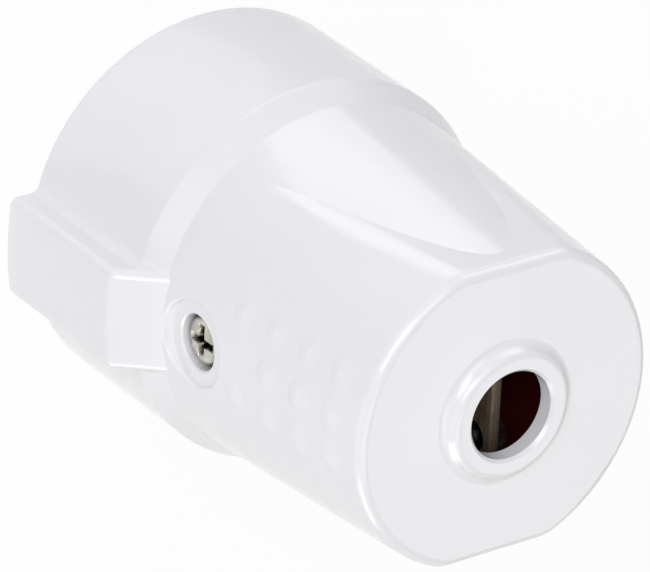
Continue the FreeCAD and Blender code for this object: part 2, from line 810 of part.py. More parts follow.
os.makedirs("parts", exist_ok=True)
for name, piece in pieces().items():
    piece.exportStep("parts/" + name + ".step")
    print(name, piece.isValid(), len(piece.Solids), round(piece.Volume, 1))
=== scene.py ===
import logging
import math
from dataclasses import dataclass, field
from enum import Enum
from typing import Any

import bpy
from mathutils import Matrix, Quaternion, Vector


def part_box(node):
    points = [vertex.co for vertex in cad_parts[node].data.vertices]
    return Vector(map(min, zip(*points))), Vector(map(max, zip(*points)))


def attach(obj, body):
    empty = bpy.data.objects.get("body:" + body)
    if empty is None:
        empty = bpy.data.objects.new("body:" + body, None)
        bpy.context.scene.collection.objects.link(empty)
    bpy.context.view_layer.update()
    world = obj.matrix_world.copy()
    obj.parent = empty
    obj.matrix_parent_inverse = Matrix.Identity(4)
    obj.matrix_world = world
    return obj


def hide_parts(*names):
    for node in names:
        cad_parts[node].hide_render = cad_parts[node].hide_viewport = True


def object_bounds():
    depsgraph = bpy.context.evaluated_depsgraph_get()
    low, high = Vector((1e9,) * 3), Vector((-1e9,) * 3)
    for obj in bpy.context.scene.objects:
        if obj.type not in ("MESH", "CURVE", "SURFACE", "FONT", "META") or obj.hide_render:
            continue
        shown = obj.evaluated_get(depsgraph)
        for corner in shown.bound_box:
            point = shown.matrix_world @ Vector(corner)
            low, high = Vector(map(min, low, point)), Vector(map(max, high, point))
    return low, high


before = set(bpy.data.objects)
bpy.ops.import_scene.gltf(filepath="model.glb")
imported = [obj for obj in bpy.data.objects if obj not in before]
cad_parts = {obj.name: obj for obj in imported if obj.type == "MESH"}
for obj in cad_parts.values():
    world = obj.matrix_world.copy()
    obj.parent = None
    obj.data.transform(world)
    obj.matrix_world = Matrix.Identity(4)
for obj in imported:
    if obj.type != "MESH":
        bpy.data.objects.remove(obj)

CAD_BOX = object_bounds()
LOG = logging.getLogger("connector")
MM = 0.001
BODY = "root"
Z_AXIS = Vector((0, 0, 1))

# Knee, slope, offset and power of the sRGB curve
SRGB_KNEE = 0.04045
SRGB_SLOPE = 12.92
SRGB_OFFSET = 0.055
SRGB_POWER = 2.4

# Sockets of a Mix node that blends colours
MIX_SHARE = 0
MIX_FIRST = 6
MIX_SECOND = 7
MIX_RESULT = 2

Linear = tuple[float, float, float, float]
Inputs = dict[Any, Any]
Tree = bpy.types.NodeTree
Node = bpy.types.Node
Socket = bpy.types.NodeSocket


def linear(hex_colour: str) -> Linear:
    """Turn an sRGB hex colour into the linear colour that shaders take.

    Args:
        hex_colour: Colour such as "#E8E8EC".

    Returns:
        Linear red, green and blue, with alpha 1.
    """
    channels = [int(hex_colour[start:start + 2], 16) / 255 for start in (1, 3, 5)]
    low = [value / SRGB_SLOPE for value in channels]
    high = [((value + SRGB_OFFSET) / (1 + SRGB_OFFSET)) ** SRGB_POWER for value in channels]
    red, green, blue = [a if value <= SRGB_KNEE else b for value, a, b in zip(channels, low, high)]
    return red, green, blue, 1.0


def add_node(tree: Tree, kind: str, inputs: Inputs | None = None, **options: Any) -> Node:
    """Add one node, set its options and feed its inputs.

    Args:
        tree: Node tree that gets the node.
        kind: Blender's name for the kind of node.
        inputs: A constant or an output socket for each input, by name or number.
        options: Settings of the node itself.

    Returns:
        The new node.
    """
    node = tree.nodes.new(kind)
    for option, value in options.items():
        setattr(node, option, value)
    for key, value in (inputs or {}).items():
        if isinstance(value, Socket):
            tree.links.new(value, node.inputs[key])
        else:
            node.inputs[key].default_value = value
    return node


def noise(
    tree: Tree, place: Socket, cell_mm: float, detail: float = 2.0, roughness: float = 0.5
) -> Socket:
    """Add a cloudy pattern.

    Args:
        tree: Node tree that gets the pattern.
        place: Coordinates, in metres.
        cell_mm: Width of one cloud.
        detail: Number of finer layers.
        roughness: Strength of each finer layer against the one before.

    Returns:
        Grey pattern from 0 to 1.
    """
    inputs = {"Vector": place, "Scale": 1 / (cell_mm * MM), "Detail": detail, "Roughness": roughness}
    return add_node(tree, "ShaderNodeTexNoise", inputs).outputs["Fac"]


def calculate(tree: Tree, operation: str, first: Socket, second: Socket | float) -> Socket:
    """Work out one value from two.

    Args:
        tree: Node tree that gets the calculation.
        operation: Blender's name for it, such as MULTIPLY.
        first: Output socket with the first value.
        second: Output socket or constant with the second value.

    Returns:
        Socket with the result.
    """
    return add_node(tree, "ShaderNodeMath", {0: first, 1: second}, operation=operation).outputs[0]


def blend(tree: Tree, share: Socket, first: Linear, second: Linear | Socket) -> Socket:
    """Blend two colours.

    Args:
        tree: Node tree that gets the blend.
        share: Share of the second colour, from 0 to 1.
        first: First colour.
        second: Second colour, or the output socket that gives it.

    Returns:
        Socket with the blended colour.
    """
    inputs = {MIX_SHARE: share, MIX_FIRST: first, MIX_SECOND: second}
    return add_node(tree, "ShaderNodeMix", inputs, data_type="RGBA").outputs[MIX_RESULT]


@dataclass(frozen=True)
class Finish:
    """Base of all finishes: a named material with one principled shader.

    Attributes:
        name: Name of the real material and how its surface was made.
        colour: Main colour as sRGB hex.
        shade: Second colour of its fine variation, as sRGB hex.
        roughness: Mean roughness of the surface.
    """

    name: str
    colour: str
    shade: str
    roughness: float

    def material(self) -> bpy.types.Material:
        """Give the material of this finish, made on first use.

        Returns:
            The material, shared by every piece with this finish.
        """
        made = bpy.data.materials.get(self.name)
        if made is None:
            made = bpy.data.materials.new(self.name)
            made.use_nodes = True
            tree = made.node_tree
            tree.nodes.clear()
            shader = add_node(tree, "ShaderNodeBsdfPrincipled")
            add_node(tree, "ShaderNodeOutputMaterial", {"Surface": shader.outputs[0]})
            place = add_node(tree, "ShaderNodeTexCoord").outputs["Object"]
            self.surface(tree, shader, place)
        return made

    def surface(self, tree: Tree, shader: Node, place: Socket) -> None:
        """Add the finish's own pattern, colour and gloss to its shader.

        Args:
            tree: Node tree of the material.
            shader: Principled shader to feed.
            place: Object coordinates, in metres.
        """
        raise NotImplementedError

    def vary(self, tree: Tree, shader: Node, pattern: Socket, gloss_change: float) -> None:
        """Let one pattern drive both the colour and the gloss.

        Args:
            tree: Node tree of the material.
            shader: Principled shader to feed.
            pattern: Grey pattern from 0 to 1.
            gloss_change: How far the roughness moves to either side of its mean.
        """
        tint = blend(tree, pattern, linear(self.colour), linear(self.shade))
        low, high = self.roughness - gloss_change, self.roughness + gloss_change
        gloss = add_node(tree, "ShaderNodeMapRange", {"Value": pattern, "To Min": low, "To Max": high})
        tree.links.new(tint, shader.inputs["Base Color"])
        tree.links.new(gloss.outputs["Result"], shader.inputs["Roughness"])

    def emboss(self, tree: Tree, shader: Node, pattern: Socket, depth_mm: float) -> None:
        """Press a pattern into the surface as fine relief.

        Args:
            tree: Node tree of the material.
            shader: Principled shader to feed.
            pattern: Grey pattern from 0 to 1.
            depth_mm: Depth from the pattern's dark to its light.
        """
        relief = {"Height": pattern, "Distance": depth_mm * MM, "Strength": 1.0}
        bump = add_node(tree, "ShaderNodeBump", relief)
        tree.links.new(bump.outputs["Normal"], shader.inputs["Normal"])


@dataclass(frozen=True)
class MouldedPlastic(Finish):
    """Injection-moulded thermoplastic that carries the polish of its steel mould.

    Attributes:
        flow_mm: Width of a flow mark.
        peel_mm: Width of one ripple of the surface.
        peel_depth_mm: Depth of the ripples.
        gloss_change: How much the roughness varies over the surface.
        ior: Index of refraction of the plastic.
    """

    flow_mm: float = 14.0
    peel_mm: float = 2.2
    peel_depth_mm: float = 0.0015
    gloss_change: float = 0.03
    ior: float = 1.52

    def surface(self, tree: Tree, shader: Node, place: Socket) -> None:
        """Add slow flow marks in colour and gloss, and a fine ripple that softens the highlights.

        Args:
            tree: Node tree of the material.
            shader: Principled shader to feed.
            place: Object coordinates, in metres.
        """
        flow = noise(tree, place, self.flow_mm)
        peel = noise(tree, place, self.peel_mm)
        self.vary(tree, shader, flow, self.gloss_change)
        self.emboss(tree, shader, peel, self.peel_depth_mm)
        shader.inputs["IOR"].default_value = self.ior


@dataclass(frozen=True)
class PressedPhenolic(Finish):
    """Thermoset pressed from a wood-filled powder.

    Attributes:
        fleck_mm: Width of a filler fleck.
        grain_depth_mm: Depth of the fine grain.
        gloss_change: How much the roughness varies between flecks.
        ior: Index of refraction of the resin.
    """

    fleck_mm: float = 0.5
    grain_depth_mm: float = 0.006
    gloss_change: float = 0.08
    ior: float = 1.6

    def surface(self, tree: Tree, shader: Node, place: Socket) -> None:
        """Add small filler flecks and a slight grain to the dark resin.

        Args:
            tree: Node tree of the material.
            shader: Principled shader to feed.
            place: Object coordinates, in metres.
        """
        fleck = noise(tree, place, self.fleck_mm, detail=4.0, roughness=0.65)
        self.vary(tree, shader, fleck, self.gloss_change)
        self.emboss(tree, shader, fleck, self.grain_depth_mm)
        shader.inputs["IOR"].default_value = self.ior


class Lay(Enum):
    """Direction that the tool marks of a metal run in, as stretch factors along X, Y and Z."""

    ALONG_X = (0.03, 1.0, 1.0)
    ALONG_Z = (1.0, 1.0, 0.03)
    AROUND_Z = (0.03, 0.03, 1.0)
    NONE = (1.0, 1.0, 1.0)


@dataclass(frozen=True)
class WorkedMetal(Finish):
    """Bare or plated metal with the marks of the tool that made it.

    Attributes:
        lay: Direction of the marks.
        mark_mm: Width of one mark.
        mark_depth_mm: Depth of the marks.
        gloss_change: How much the roughness varies between marks.
        stain_mm: Width of the slow stains of handling and plating.
        contrast: Values of marks times stains that count as dark and as light.
        painted_shade: Colour of the painted shade that darkens corners and recesses, as sRGB hex.
        painted_shade_mm: How far from a corner the painted shade reaches.
        painted_shade_openness: Share of open air at which the painted shade is full, and at which it
            ends.
        painted_shade_rays: Rays that look for corners from each point, for the painted shade.
    """

    lay: Lay = Lay.NONE
    mark_mm: float = 0.25
    mark_depth_mm: float = 0.002
    gloss_change: float = 0.08
    stain_mm: float = 3.0
    contrast: tuple[float, float] = (0.12, 0.4)
    # Colour of the painted shade that darkens corners and recesses
    painted_shade: str = "#1A140C"
    painted_shade_mm: float = 1.2
    painted_shade_openness: tuple[float, float] = (0.3, 0.85)
    painted_shade_rays: int = 12

    def surface(self, tree: Tree, shader: Node, place: Socket) -> None:
        """Add fine drawn-out marks over slow stains, with painted shade in the corners and recesses.

        Args:
            tree: Node tree of the material.
            shader: Principled shader to feed.
            place: Object coordinates, in metres.
        """
        drawn = add_node(tree, "ShaderNodeMapping", {"Vector": place, "Scale": self.lay.value})
        marks = noise(tree, drawn.outputs[0], self.mark_mm, detail=3.0)
        stains = noise(tree, place, self.stain_mm)
        both = calculate(tree, "MULTIPLY", marks, stains)
        dark, light = self.contrast
        limits = {"Value": both, "From Min": dark, "From Max": light}
        spread = add_node(tree, "ShaderNodeMapRange", limits)
        self.vary(tree, shader, spread.outputs["Result"], self.gloss_change)
        self.emboss(tree, shader, marks, self.mark_depth_mm)
        self.paint_corner_shade(tree, shader)
        shader.inputs["Metallic"].default_value = 1.0

    def paint_corner_shade(self, tree: Tree, shader: Node) -> None:
        """Paint shade into the corners and recesses by darkening their colour.

        Args:
            tree: Node tree of the material.
            shader: Principled shader, whose colour is already fed.
        """
        # Painted shade: ambient occlusion darkens the colour in corners and recesses
        reach = {"Distance": self.painted_shade_mm * MM}
        open_air = add_node(tree, "ShaderNodeAmbientOcclusion", reach, samples=self.painted_shade_rays)
        full, ended = self.painted_shade_openness
        limits = {"Value": open_air.outputs["AO"], "From Min": full, "From Max": ended}
        unshaded_share = add_node(tree, "ShaderNodeMapRange", limits)
        unshaded_colour = shader.inputs["Base Color"].links[0].from_socket
        shaded_colour = blend(tree, unshaded_share.outputs["Result"], linear(self.painted_shade), unshaded_colour)
        tree.links.new(shaded_colour, shader.inputs["Base Color"])


# Gloss-white ABS from a polished mould: an even neutral white with clear, soft-edged reflections
SLEEVE_ABS = MouldedPlastic("abs_moulded_gloss_white", "#EEEEEE", "#EBEBEB", 0.15)
# The same white ABS from a less polished mould: the well looks slightly more matt than the sleeve
FACE_ABS = MouldedPlastic("abs_moulded_satin_white", "#EBEBEC", "#E6E6E8", 0.34, peel_depth_mm=0.004)
# Wood-filled phenolic: dark red-brown with a dull sheen
BASE_PHENOLIC = PressedPhenolic("phenolic_pressed_brown", "#6A150F", "#450E0A", 0.42)
# Free-cutting brass off the lathe: bright yellow with fine rings round the turning axis
TURNED_BRASS = WorkedMetal("brass_turned_bright", "#D9B36A", "#B88F4A", 0.26, Lay.AROUND_Z, 0.18)
# Brass strip, stamped and nickel plated: warm silver with faint rolling lines along the spring
NICKEL_STRIP = WorkedMetal("nickel_plated_brass_stamped", "#CFC8B8", "#B5AD9B", 0.22, Lay.ALONG_Z, 0.3)
# Cold-rolled steel bar, brushed along its length: warm pale grey with drawn-out streaks and little shine
BRUSHED_STEEL = WorkedMetal("steel_rolled_brushed", "#F0E0C6", "#B9A88E", 0.66, Lay.ALONG_X, 0.35, 0.004)
# Hardened spring strip: darker grey with a slight temper tint
SPRING_STEEL = WorkedMetal("spring_steel_tempered", "#8C8A86", "#6B6660", 0.3, Lay.AROUND_Z, 0.3)
# Nickel-plated steel screw: bright, slightly warm, with soft stains from the plating bath
NICKEL_SCREW = WorkedMetal("nickel_plated_steel_bright", "#D2D0C6", "#B4B1A4", 0.16, Lay.NONE, 0.5, 0.001)
# Zinc-plated steel screw: cooler and duller than the nickel, with a fine crystalline cloud
ZINC_SCREW = WorkedMetal("zinc_plated_steel_passivated", "#C3C7CB", "#9EA3A8", 0.32, Lay.NONE, 0.4, 0.002)


def clear_selection() -> None:
    """Leave edit mode and deselect every object."""
    if bpy.context.mode != "OBJECT":
        bpy.ops.object.mode_set(mode="OBJECT")
    bpy.ops.object.select_all(action="DESELECT")


def choose_only(piece: bpy.types.Object) -> None:
    """Make one object the only selected and the active one.

    Args:
        piece: Object to choose.
    """
    clear_selection()
    piece.select_set(True)
    bpy.context.view_layer.objects.active = piece


def apply_modifier(piece: bpy.types.Object, kind: str, **options: Any) -> None:
    """Add a modifier with its options and apply it at once.

    Args:
        piece: Object to change.
        kind: Blender's name for the modifier.
        options: Settings of the modifier.
    """
    choose_only(piece)
    modifier = piece.modifiers.new(kind.lower(), kind)
    for option, value in options.items():
        setattr(modifier, option, value)
    bpy.ops.object.modifier_apply(modifier=modifier.name)


def combine(piece: bpy.types.Object, tool: bpy.types.Object, operation: str) -> None:
    """Cut or join a second solid with the first and remove it.

    Args:
        piece: Object to change.
        tool: Object that is used up.
        operation: DIFFERENCE or UNION.
    """
    apply_modifier(piece, "BOOLEAN", object=tool, operation=operation, solver="EXACT")
    bpy.data.objects.remove(tool)


def clear_slivers(piece: bpy.types.Object, width_mm: float) -> None:
    """Close up the hair-thin faces that a cut or join leaves behind.

    Args:
        piece: Object to change, still in millimetres.
        width_mm: Faces and edges thinner than this are closed up.
    """
    choose_only(piece)
    bpy.ops.object.mode_set(mode="EDIT")
    bpy.ops.mesh.select_all(action="SELECT")
    bpy.ops.mesh.remove_doubles(threshold=width_mm)
    bpy.ops.mesh.dissolve_degenerate(threshold=width_mm)
    bpy.ops.object.mode_set(mode="OBJECT")


def raise_rings(rings: list[tuple[float, float]], corners: int) -> bpy.types.Object:
    """Draw a round solid up from a disc, ring by ring.

    Args:
        rings: Radius and height of each ring, from the foot to the crown.
        corners: Corners of each ring.

    Returns:
        The closed solid, standing on z = 0.
    """
    clear_selection()
    bpy.ops.mesh.primitive_circle_add(vertices=corners, radius=rings[0][0], fill_type="NGON")
    solid = bpy.context.object
    bpy.ops.object.mode_set(mode="EDIT")
    bpy.ops.mesh.select_all(action="SELECT")
    for (radius, height), (next_radius, next_height) in zip(rings, rings[1:]):
        bpy.ops.mesh.extrude_region_move(TRANSFORM_OT_translate={"value": (0, 0, next_height - height)})
        share = next_radius / radius
        bpy.ops.transform.resize(value=(share, share, 1))
    bpy.ops.mesh.select_all(action="SELECT")
    bpy.ops.mesh.normals_make_consistent(inside=False)
    bpy.ops.object.mode_set(mode="OBJECT")
    return solid


def soften(piece: bpy.types.Object, width_mm: float, sharp_deg: float = 40.0) -> None:
    """Round the sharp edges of a piece and shade it smooth between them.

    Args:
        piece: Object to change, still in millimetres.
        width_mm: Width of the rounding.
        sharp_deg: Edges that turn by more than this are rounded.
    """
    apply_modifier(
        piece,
        "BEVEL",
        width=width_mm,
        segments=2,
        limit_method="ANGLE",
        angle_limit=math.radians(sharp_deg),
        use_clamp_overlap=True,
    )
    bpy.ops.object.shade_smooth_by_angle(angle=math.radians(sharp_deg))


def seat(piece: bpy.types.Object, turn: Quaternion, place: Vector) -> None:
    """Bring a piece modelled in millimetres to its place in metres and settle it in its mesh.

    Args:
        piece: Object to place.
        turn: Rotation from the model's axes to the part's.
        place: Where the model's origin goes, in metres.
    """
    choose_only(piece)
    piece.matrix_world = Matrix.Translation(place) @ turn.to_matrix().to_4x4() @ Matrix.Scale(MM, 4)
    bpy.ops.object.transform_apply(location=True, rotation=True, scale=True)


def show(piece: bpy.types.Object, name: str, finish: Finish) -> None:
    """Name a modelled piece, give it its finish and carry it on the body.

    Args:
        piece: Finished object.
        name: Its name.
        finish: Its finish.
    """
    piece.name = name
    piece.data.name = name
    piece.data.materials.clear()
    piece.data.materials.append(finish.material())
    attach(piece, BODY)
    LOG.info("modelled %s", name)


def stand_in(piece: bpy.types.Object, node: str, finish: Finish) -> None:
    """Show a detailed piece in place of a node.

    Args:
        piece: Finished object.
        node: Node that it stands for.
        finish: Its finish.
    """
    show(piece, node + "_detailed", finish)
    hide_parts(node)


def dress(node: str, finish: Finish) -> None:
    """Give a node of the frame its finish.

    Args:
        node: Name of the node.
        finish: Finish for all its faces.
    """
    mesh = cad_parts[node].data
    mesh.materials.clear()
    mesh.materials.append(finish.material())
    LOG.info("dressed %s", node)


class HeadForm(Enum):
    """Form of a screw head."""

    PAN = "pan"
    CHEESE = "cheese"
    COUNTERSUNK = "countersunk"


@dataclass(frozen=True)
class Recess:
    """Cut in a screw head that takes the driver.

    Attributes:
        length: Length of one cut, as a share of the head's radius.
        width: Width of one cut at its mouth, as a share of the head's radius.
        floor: Shares of the length, width and depth that are left at the floor of the cut.
        turns_deg: Turn of each cut about the screw's axis.
    """

    length: float
    width: float
    floor: tuple[float, float, float]
    turns_deg: tuple[float, ...]


class Drive(Enum):
    """Kind of driver, with the recess that takes it."""

    CROSS = Recess(1.8, 0.46, (0.5, 0.62, 1.0), (0.0, 90.0))
    SLOT = Recess(4.0, 0.42, (1.0, 0.9, 1.0), (0.0,))


@dataclass
class Screw:
    """Machine screw with a formed head, a driver recess and a rolled thread, in millimetres.

    Attributes:
        node: Node that the screw stands for.
        slot: Material slot of the record. Not used.
        finish: Plating.
        axis: Direction that the head faces.
        head_radius: Radius of the head.
        head_height: Height of the head.
        shank_radius: Outer radius of the thread.
        form: Form of the head.
        drive: Kind of driver recess.
        pitch: Pitch of the thread.
        edge: Rounding of the edges.
        side_share: Share of a pan head's height that its straight side takes.
        crown_share: Share of a pan head's radius that its flat crown takes.
        crown_steps: Rings of the curve between that side and that crown.
        recess_share: Depth of the recess, as a share of the head's height.
        core_share: Depth of the core below the thread's crest, as a share of the pitch.
        tip_share: Length of the bevelled tip, as a share of the core's radius.
        overlap_share: How far the core reaches into the head, as a share of the head's height.
        ridge_share: Width of the thread's ridge, as a share of the pitch.
        head_corners: Corners of each ring of the head.
        core_corners: Corners of the core.
        thread_steps: Steps of one turn of the thread.
        weld: Distance at which corners of neighbouring turns are one.
        sliver: Width of a face that is too thin to keep.
        smooth_deg: Edges that turn by less than this are shaded smooth.
    """

    node: str
    slot: str
    finish: Finish
    axis: Vector
    head_radius: float
    head_height: float
    shank_radius: float
    form: HeadForm = HeadForm.PAN
    drive: Drive = Drive.CROSS
    pitch: float = 0.6
    edge: float = 0.06
    side_share: float = 0.45
    crown_share: float = 0.55
    crown_steps: int = 5
    recess_share: float = 0.72
    core_share: float = 0.5
    tip_share: float = 0.4
    overlap_share: float = 0.3
    ridge_share: float = 0.86
    head_corners: int = 48
    core_corners: int = 32
    thread_steps: int = 24
    weld: float = 1e-5
    sliver: float = 0.0005
    smooth_deg: float = 35.0

    def head_rings(self) -> list[tuple[float, float]]:
        """Give the outline of the head as rings of radius and height above its underside.

        Returns:
            Rings from the underside to the crown.
        """
        radius, height = self.head_radius, self.head_height
        if self.form is HeadForm.COUNTERSUNK:
            return [(self.shank_radius, 0.0), (radius, height)]
        if self.form is HeadForm.CHEESE:
            return [(radius, 0.0), (radius, height)]
        side = self.side_share * height
        crown = self.crown_share * radius
        rings = [(radius, 0.0), (radius, side)]
        for step in range(1, self.crown_steps + 1):
            turn = math.radians(90 * step / self.crown_steps)
            reach = crown + (radius - crown) * math.cos(turn)
            rings.append((reach, side + (height - side) * math.sin(turn)))
        return rings

    def head(self) -> bpy.types.Object:
        """Draw the head up from a disc and give the closed head, standing on z = 0."""
        return raise_rings(self.head_rings(), self.head_corners)

    def wing(self, turn_deg: float) -> bpy.types.Object:
        """Make one tapered wing of the driver recess, or the straight slot.

        Args:
            turn_deg: Turn about the screw's axis.

        Returns:
            The cutter, with its mouth above the crown.
        """
        recess = self.drive.value
        length = recess.length * self.head_radius
        width = recess.width * self.head_radius
        depth = self.recess_share * self.head_height
        clear_selection()
        bpy.ops.mesh.primitive_cube_add(size=1, location=(0, 0, self.head_height))
        wing = bpy.context.object
        wing.scale = (length, width, 2 * depth)
        wing.rotation_euler.z = math.radians(turn_deg)
        bpy.ops.object.transform_apply(location=False, rotation=False, scale=True)
        bpy.ops.object.mode_set(mode="EDIT")
        bpy.ops.mesh.select_all(action="DESELECT")
        bpy.ops.object.mode_set(mode="OBJECT")
        for face in wing.data.polygons:
            face.select = face.center.z < -depth / 2
        bpy.ops.object.mode_set(mode="EDIT")
        bpy.ops.transform.resize(value=recess.floor)
        bpy.ops.object.mode_set(mode="OBJECT")
        bpy.ops.object.transform_apply(location=True, rotation=True, scale=True)
        return wing

    def core(self, length: float) -> bpy.types.Object:
        """Make the plain core of the shank with a bevelled tip.

        Args:
            length: Length below the head.

        Returns:
            The core, from inside the head down to the tip.
        """
        radius = self.shank_radius - self.core_share * self.pitch
        tip = self.tip_share * radius
        overlap = self.overlap_share * self.head_height
        clear_selection()
        bpy.ops.mesh.primitive_circle_add(
            vertices=self.core_corners,
            radius=radius - tip,
            fill_type="NGON",
            location=(0, 0, -length),
        )
        core = bpy.context.object
        bpy.ops.object.mode_set(mode="EDIT")
        bpy.ops.mesh.select_all(action="SELECT")
        bpy.ops.mesh.extrude_region_move(TRANSFORM_OT_translate={"value": (0, 0, tip)})
        share = radius / (radius - tip)
        bpy.ops.transform.resize(value=(share, share, 1))
        bpy.ops.mesh.extrude_region_move(TRANSFORM_OT_translate={"value": (0, 0, length - tip + overlap)})
        bpy.ops.mesh.select_all(action="SELECT")
        bpy.ops.mesh.normals_make_consistent(inside=False)
        bpy.ops.object.mode_set(mode="OBJECT")
        bpy.ops.object.transform_apply(location=True, rotation=True, scale=True)
        return core

    def thread(self, length: float) -> bpy.types.Object:
        """Wind the thread ridge round the core, with a bare pitch at either end.

        Args:
            length: Length of the shank below the head.

        Returns:
            The closed ridge.
        """
        side = self.ridge_share * self.pitch
        tall = side * math.sqrt(3) / 2
        turns = math.floor((length - 2 * self.pitch) / self.pitch)
        clear_selection()
        bpy.ops.mesh.primitive_circle_add(vertices=3, radius=1.0, fill_type="NOTHING")
        ridge = bpy.context.object
        start = -length + self.pitch
        foot = self.shank_radius - tall
        corners = [(self.shank_radius, 0), (foot, side / 2), (foot, -side / 2)]
        for vertex, (reach, height) in zip(ridge.data.vertices, corners):
            vertex.co = (reach, 0, start + height)
        apply_modifier(
            ridge,
            "SCREW",
            axis="Z",
            angle=2 * math.pi,
            screw_offset=self.pitch,
            iterations=turns,
            steps=self.thread_steps,
            render_steps=self.thread_steps,
            use_merge_vertices=False,
        )
        bpy.ops.object.mode_set(mode="EDIT")
        bpy.ops.mesh.select_all(action="SELECT")
        bpy.ops.mesh.remove_doubles(threshold=self.weld)
        bpy.ops.mesh.fill_holes(sides=0)
        bpy.ops.mesh.select_all(action="SELECT")
        bpy.ops.mesh.normals_make_consistent(inside=False)
        bpy.ops.object.mode_set(mode="OBJECT")
        return ridge

    def build(self) -> bpy.types.Object:
        """Model the screw and seat it where its node is.

        Returns:
            The finished screw.
        """
        low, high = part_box(self.node)
        middle = (low + high) / 2
        reach = abs((high - low).dot(self.axis)) / 2
        length = 2 * reach / MM - self.head_height
        screw = self.head()
        for turn_deg in self.drive.value.turns_deg:
            combine(screw, self.wing(turn_deg), "DIFFERENCE")
        soften(screw, self.edge)
        shank = self.core(length)
        combine(shank, self.thread(length), "UNION")
        combine(screw, shank, "UNION")
        clear_slivers(screw, self.sliver)
        underside = middle + self.axis * (reach - self.head_height * MM)
        seat(screw, Z_AXIS.rotation_difference(self.axis), underside)
        bpy.ops.object.shade_smooth_by_angle(angle=math.radians(self.smooth_deg))
        stand_in(screw, self.node, self.finish)
        return screw


@dataclass
class ClampBar:
    """Flat steel bar of the cord clamp, in millimetres.

    Attributes:
        node: Node that the bar stands for.
        corner: Radius of the bar's corners.
        hole_radius: Radius of the screw holes.
        hole_edge: Distance of a hole from the end of the bar.
        edge: Rounding of the rolled edges.
        corner_steps: Steps of a rounded corner.
        hole_corners: Corners of a screw hole.
        drill_reach: Length of the drill, in thicknesses of the bar.
    """

    node: str = "cord_clamp_bar"
    corner: float = 2.0
    hole_radius: float = 1.7
    hole_edge: float = 2.7
    edge: float = 0.18
    corner_steps: int = 8
    hole_corners: int = 32
    drill_reach: int = 4

    def build(self) -> bpy.types.Object:
        """Cut the bar to length, round its corners, drill it and soften its edges.

        Returns:
            The finished bar.
        """
        low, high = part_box(self.node)
        size = (high - low) / MM
        middle = (low + high) / 2
        clear_selection()
        bpy.ops.mesh.primitive_cube_add(size=1)
        bar = bpy.context.object
        bar.scale = size
        bpy.ops.object.transform_apply(location=False, rotation=False, scale=True)
        bpy.ops.object.mode_set(mode="EDIT")
        bpy.ops.mesh.select_mode(type="EDGE")
        bpy.ops.mesh.select_all(action="DESELECT")
        bpy.ops.object.mode_set(mode="OBJECT")
        for edge in bar.data.edges:
            start, end = (bar.data.vertices[index].co for index in edge.vertices)
            edge.select = abs(start.y - end.y) > size.y / 2
        bpy.ops.object.mode_set(mode="EDIT")
        bpy.ops.mesh.bevel(offset=self.corner, segments=self.corner_steps)
        bpy.ops.mesh.select_mode(type="VERT")
        bpy.ops.object.mode_set(mode="OBJECT")
        for side in (-1, 1):
            clear_selection()
            place = (side * (size.x / 2 - self.hole_edge), 0, 0)
            bpy.ops.mesh.primitive_cylinder_add(
                vertices=self.hole_corners,
                radius=self.hole_radius,
                depth=self.drill_reach * size.y,
                location=place,
                rotation=(math.pi / 2, 0, 0),
            )
            combine(bar, bpy.context.object, "DIFFERENCE")
        soften(bar, self.edge)
        seat(bar, Quaternion(), middle)
        stand_in(bar, self.node, BRUSHED_STEEL)
        return bar


@dataclass
class GripDot:
    """Low dome that fills the one empty place in the rear grid of grip dots, in millimetres.

    Attributes:
        name: Name of the piece.
        foot: Where its middle stands on the side of the nose.
        lean_deg: Lean of that side towards the axis.
        ball_radius: Radius of the dome's curve.
        height: Height above the side.
        sunk: Depth of its foot below the side.
        rings: Rings that the dome is drawn with.
        corners: Corners of each ring.
        smooth_deg: Edges that turn by less than this are shaded smooth.
    """

    name: str = "grip_dot_rear"
    foot: tuple[float, float, float] = (-2.988, 19.523, 49.12)
    lean_deg: float = 4.53
    ball_radius: float = 6.5
    height: float = 0.2
    sunk: float = 0.15
    rings: int = 8
    corners: int = 40
    smooth_deg: float = 40.0

    def build(self) -> bpy.types.Object:
        """Draw the dome from its foot to its crown and seat it on the nose.

        Returns:
            The finished dot.
        """
        tall = self.height + self.sunk
        depths = [tall * (1 - ring / self.rings) ** 2 for ring in range(self.rings)]
        outline = [(math.sqrt(depth * (2 * self.ball_radius - depth)), tall - depth) for depth in depths]
        dot = raise_rings(outline, self.corners)
        foot = Vector(self.foot)
        out = Vector((foot.x, foot.y, 0)).normalized() + Z_AXIS * math.tan(math.radians(self.lean_deg))
        out.normalize()
        seat(dot, Z_AXIS.rotation_difference(out), (foot - out * self.sunk) * MM)
        bpy.ops.object.shade_smooth_by_angle(angle=math.radians(self.smooth_deg))
        show(dot, self.name, SLEEVE_ABS)
        return dot


@dataclass
class Sleeve:
    """White sleeve with the two screws that lock it to the base, in millimetres.

    Attributes:
        head_radius: Radius of a side screw's head.
        head_height: Height of that head.
        shank_radius: Outer radius of that screw's thread.
    """

    head_radius: float = 3.1
    head_height: float = 1.8
    shank_radius: float = 1.75

    def build(self) -> None:
        """Dress the sleeve, fill its grid of dots and model its side screws."""
        dress("housing", SLEEVE_ABS)
        GripDot().build()
        for side, facing in (("front", Vector((0, -1, 0))), ("rear", Vector((0, 1, 0)))):
            Screw(
                "side_screw_" + side,
                "screw_nickel",
                NICKEL_SCREW,
                facing,
                self.head_radius,
                self.head_height,
                self.shank_radius,
            ).build()
            dress("side_nut_" + side, ZINC_SCREW)


